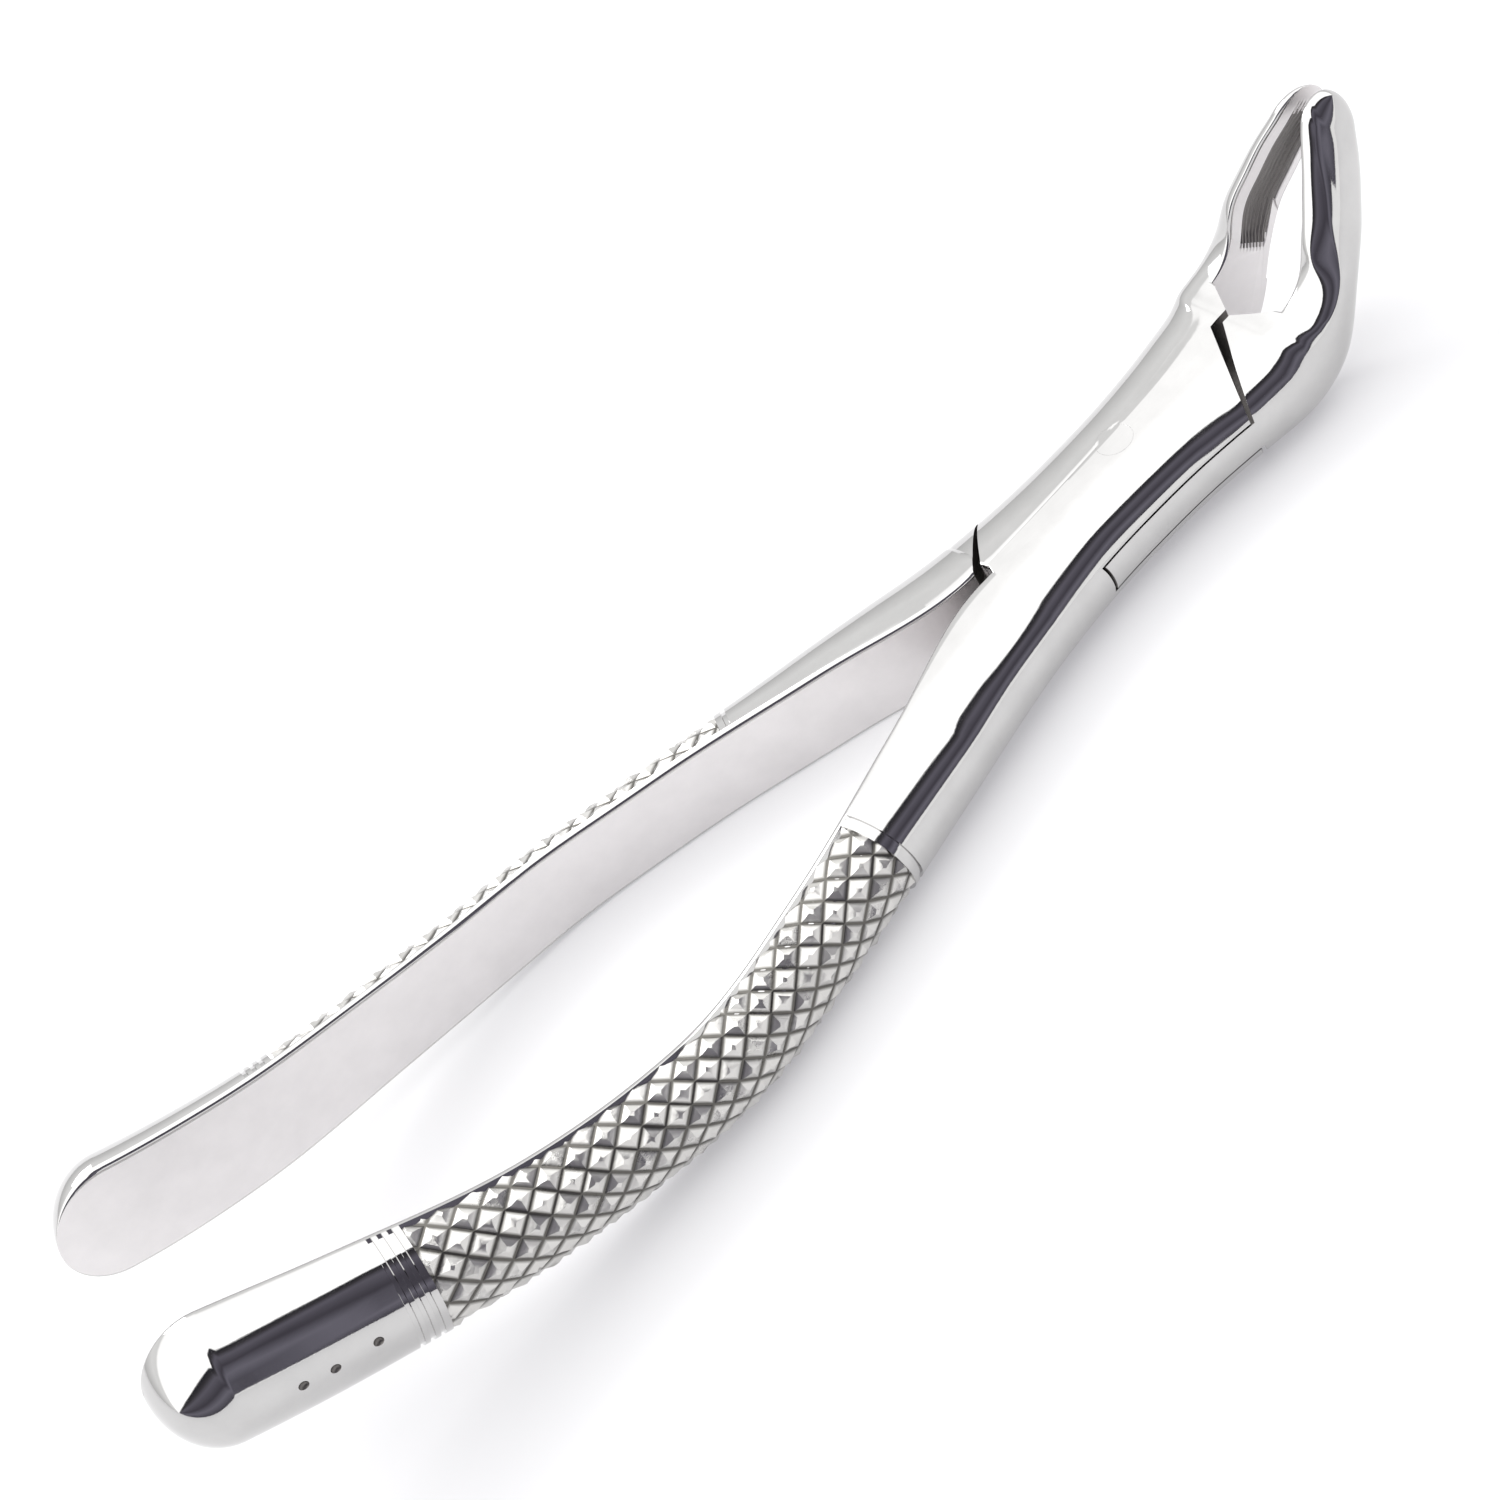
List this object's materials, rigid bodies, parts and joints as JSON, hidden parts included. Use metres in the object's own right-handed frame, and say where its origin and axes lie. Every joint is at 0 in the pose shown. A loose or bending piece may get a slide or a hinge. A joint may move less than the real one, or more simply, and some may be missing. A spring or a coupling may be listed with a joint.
{
  "type": "dental extraction forceps",
  "caption": "Polished steel extraction forceps with a box joint, upturned serrated beaks and long S-curved handles with a knurled grip.",
  "frame": {"origin": "on the hinge pin's axis, at the flat underside of the box that the tool rests on", "axes": "+X from the pin towards the beaks, +Y to the tool's left, +Z along the pin towards the side that the beaks point to"},
  "size_m": [0.1643, 0.0414, 0.0269],
  "materials": {
    "female_half": "mirror-polished stainless steel, satin on the handle's flat inner face",
    "male_half": "mirror-polished stainless steel, satin on the handle's flat inner face",
    "hinge_pin": "stainless steel, ground flush and polished with the box"
  },
  "bodies": {
    "female": {"female_half": "female_half", "hinge_pin": "hinge_pin"},
    "male": {"male_half": "male_half"}
  },
  "joints": [
    {"name": "box_joint", "type": "hinge", "parent": "female", "child": "male", "pos_m": [0, 0, 0.0055], "axis": [0, 0, -1], "range_deg": [-2.4, 25]}
  ]
}
